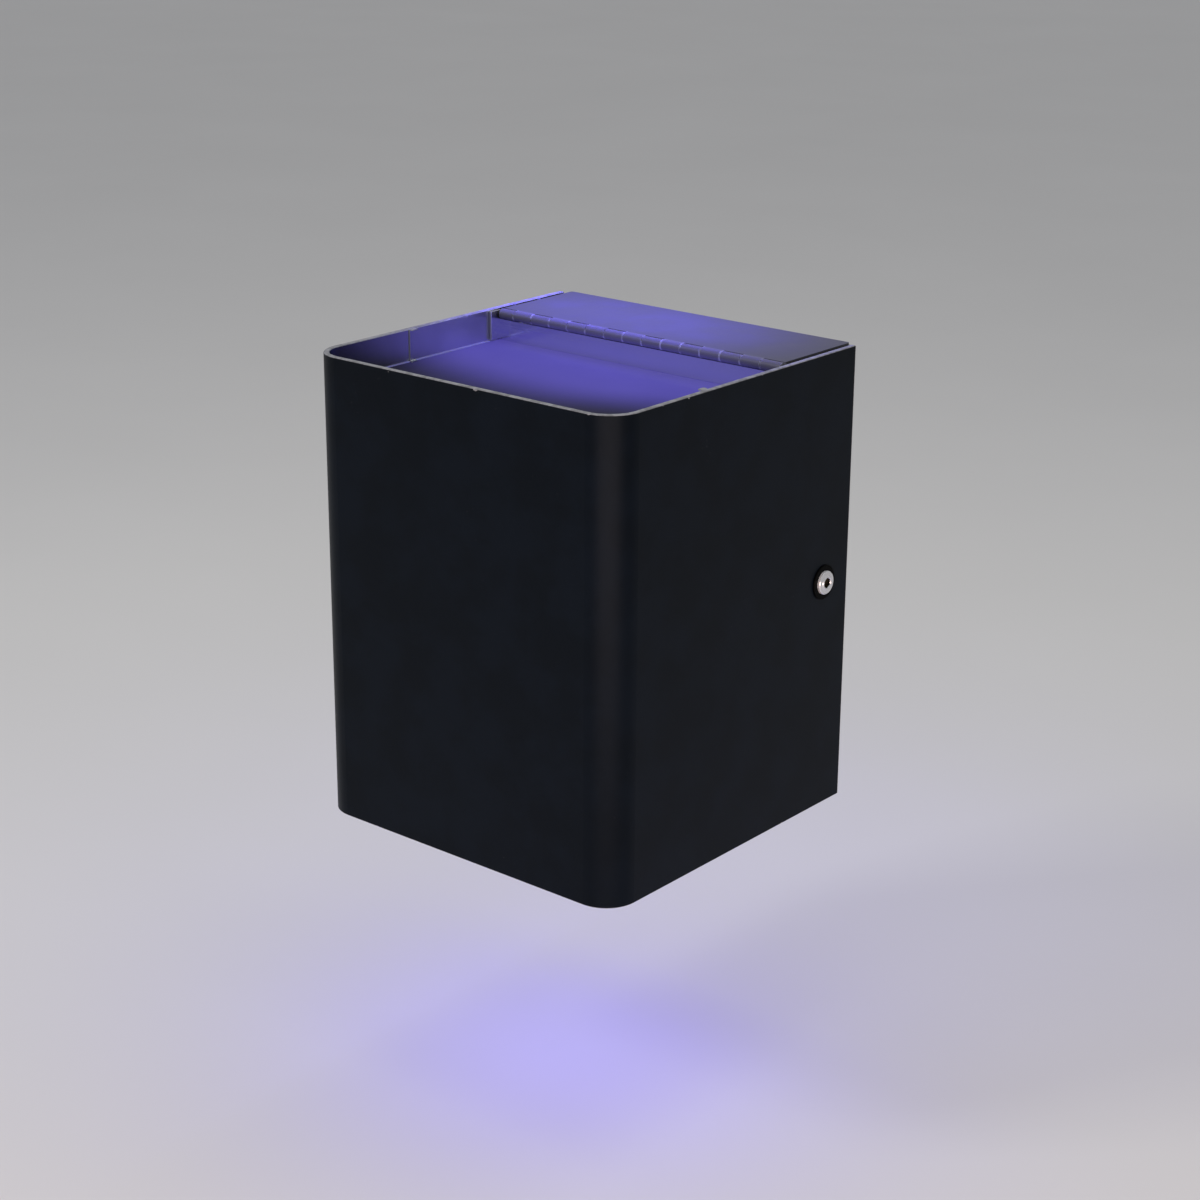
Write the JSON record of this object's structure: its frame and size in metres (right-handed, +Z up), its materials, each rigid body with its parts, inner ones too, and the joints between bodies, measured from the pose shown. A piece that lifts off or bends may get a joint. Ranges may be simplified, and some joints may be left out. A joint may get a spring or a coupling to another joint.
{
  "type": "uv sterilizer lamp unit",
  "caption": "Wall-hung ultraviolet sterilising lamp unit: a slide-off steel cover round lamps that shine up and down, with a hinged service lid over its back box.",
  "frame": {"origin": "centre of the back box's rear face, on the wall, at half the unit's height", "axes": "+Z up, +Y into the wall, +X to the right of a person facing the unit"},
  "size_m": [0.2058, 0.198, 0.25],
  "materials": {
    "black_coat": "fine-textured satin black powder coat",
    "lid_coat": "satin black powder coat, lightly worn",
    "clip_coat": "black-coated spring steel",
    "frosted_window": "sand-blasted sheet that passes ultraviolet, lit from inside",
    "gasket_rubber": "translucent silicone strip",
    "inner_steel": "satin dark grey powder coat",
    "zinc_steel": "bright zinc plate",
    "stainless": "turned stainless steel",
    "black_nylon": "moulded black nylon",
    "rivet_aluminium": "plain aluminium",
    "reflector_aluminium": "bright rolled aluminium",
    "spring_steel": "bright spring steel",
    "white_plastic": "moulded white polymer",
    "lamp_glass": "clear tube with a violet discharge",
    "brass": "plain brass",
    "white_lead": "heat-proof silicone sleeve",
    "earth_lead": "green insulation with a yellow stripe",
    "black_rubber": "moulded black rubber",
    "ballast_case": "white-enamelled sheet steel",
    "terminal_plastic": "natural nylon"
  },
  "bodies": {
    "back_box": {"hinge_fixed_leaf": "lid_coat", "back_box": "inner_steel", "panel_screws": "zinc_steel", "panel_nuts": "zinc_steel", "weld_studs": "zinc_steel", "stud_nuts": "zinc_steel", "lampholder_screws": "zinc_steel", "hinge_pin": "zinc_steel", "hinge_rivets": "rivet_aluminium", "reflector_rivets": "rivet_aluminium", "front_panel": "reflector_aluminium", "upper_reflector": "reflector_aluminium", "lower_reflector": "reflector_aluminium", "upper_lamp_clip": "spring_steel", "lower_lamp_clip": "spring_steel", "upper_lampholder": "white_plastic", "lower_lampholder": "white_plastic", "terminal_screws": "brass", "earth_lug": "brass", "upper_lamp_wires": "white_lead", "lower_lamp_wires": "white_lead", "supply_wires": "white_lead", "earth_wire": "earth_lead", "upper_wire_grommet": "black_rubber", "lower_wire_grommet": "black_rubber", "cable_grommet": "black_rubber", "ballast": "ballast_case", "terminal_block": "terminal_plastic"},
    "cover": {"cover_shell": "black_coat", "upper_window": "frosted_window", "lower_window": "frosted_window", "upper_window_gasket": "gasket_rubber", "lower_window_gasket": "gasket_rubber", "upper_window_frame": "inner_steel", "lower_window_frame": "inner_steel", "window_clips": "clip_coat", "right_slot_nut": "zinc_steel", "left_slot_nut": "zinc_steel"},
    "right_screw_carriage": {"right_screw_washer": "black_nylon"},
    "left_screw_carriage": {"left_screw_washer": "black_nylon"},
    "right_screw": {"right_cover_screw": "stainless"},
    "left_screw": {"left_cover_screw": "stainless"},
    "lid": {"lid": "lid_coat"},
    "upper_lamp": {"upper_lamp_glass": "lamp_glass", "upper_lamp_cap": "white_plastic", "upper_lamp_pins": "brass"},
    "lower_lamp": {"lower_lamp_glass": "lamp_glass", "lower_lamp_cap": "white_plastic", "lower_lamp_pins": "brass"}
  },
  "joints": [
    {"name": "cover_slide", "type": "slide", "parent": "back_box", "child": "cover", "axis": [0, -1, 0], "range_m": [0, 0.19]},
    {"name": "right_screw_travel", "type": "slide", "parent": "cover", "child": "right_screw_carriage", "axis": [1, 0, 0], "range_m": [0, 0.0025]},
    {"name": "right_screw_turn", "type": "hinge", "parent": "right_screw_carriage", "child": "right_screw", "pos_m": [0.1008, -0.0255, 0.0025], "axis": [1, 0, 0], "range_deg": [0, 720]},
    {"name": "left_screw_travel", "type": "slide", "parent": "cover", "child": "left_screw_carriage", "axis": [-1, 0, 0], "range_m": [0, 0.0025]},
    {"name": "left_screw_turn", "type": "hinge", "parent": "left_screw_carriage", "child": "left_screw", "pos_m": [-0.1008, -0.0255, 0.0025], "axis": [-1, 0, 0], "range_deg": [0, 720]},
    {"name": "lid_hinge", "type": "hinge", "parent": "back_box", "child": "lid", "pos_m": [0, -0.059, 0.1222], "axis": [1, 0, 0], "range_deg": [0, 190]},
    {"name": "upper_lamp_pull", "type": "slide", "parent": "back_box", "child": "upper_lamp", "axis": [-1, 0, 0], "range_m": [0, 0.024]},
    {"name": "lower_lamp_pull", "type": "slide", "parent": "back_box", "child": "lower_lamp", "axis": [-1, 0, 0], "range_m": [0, 0.024]}
  ],
  "couplings": [
    {"joint": "right_screw_travel", "follows": "right_screw_turn", "m_per_rad": 0.00019894},
    {"joint": "left_screw_travel", "follows": "left_screw_turn", "m_per_rad": 0.00019894}
  ]
}
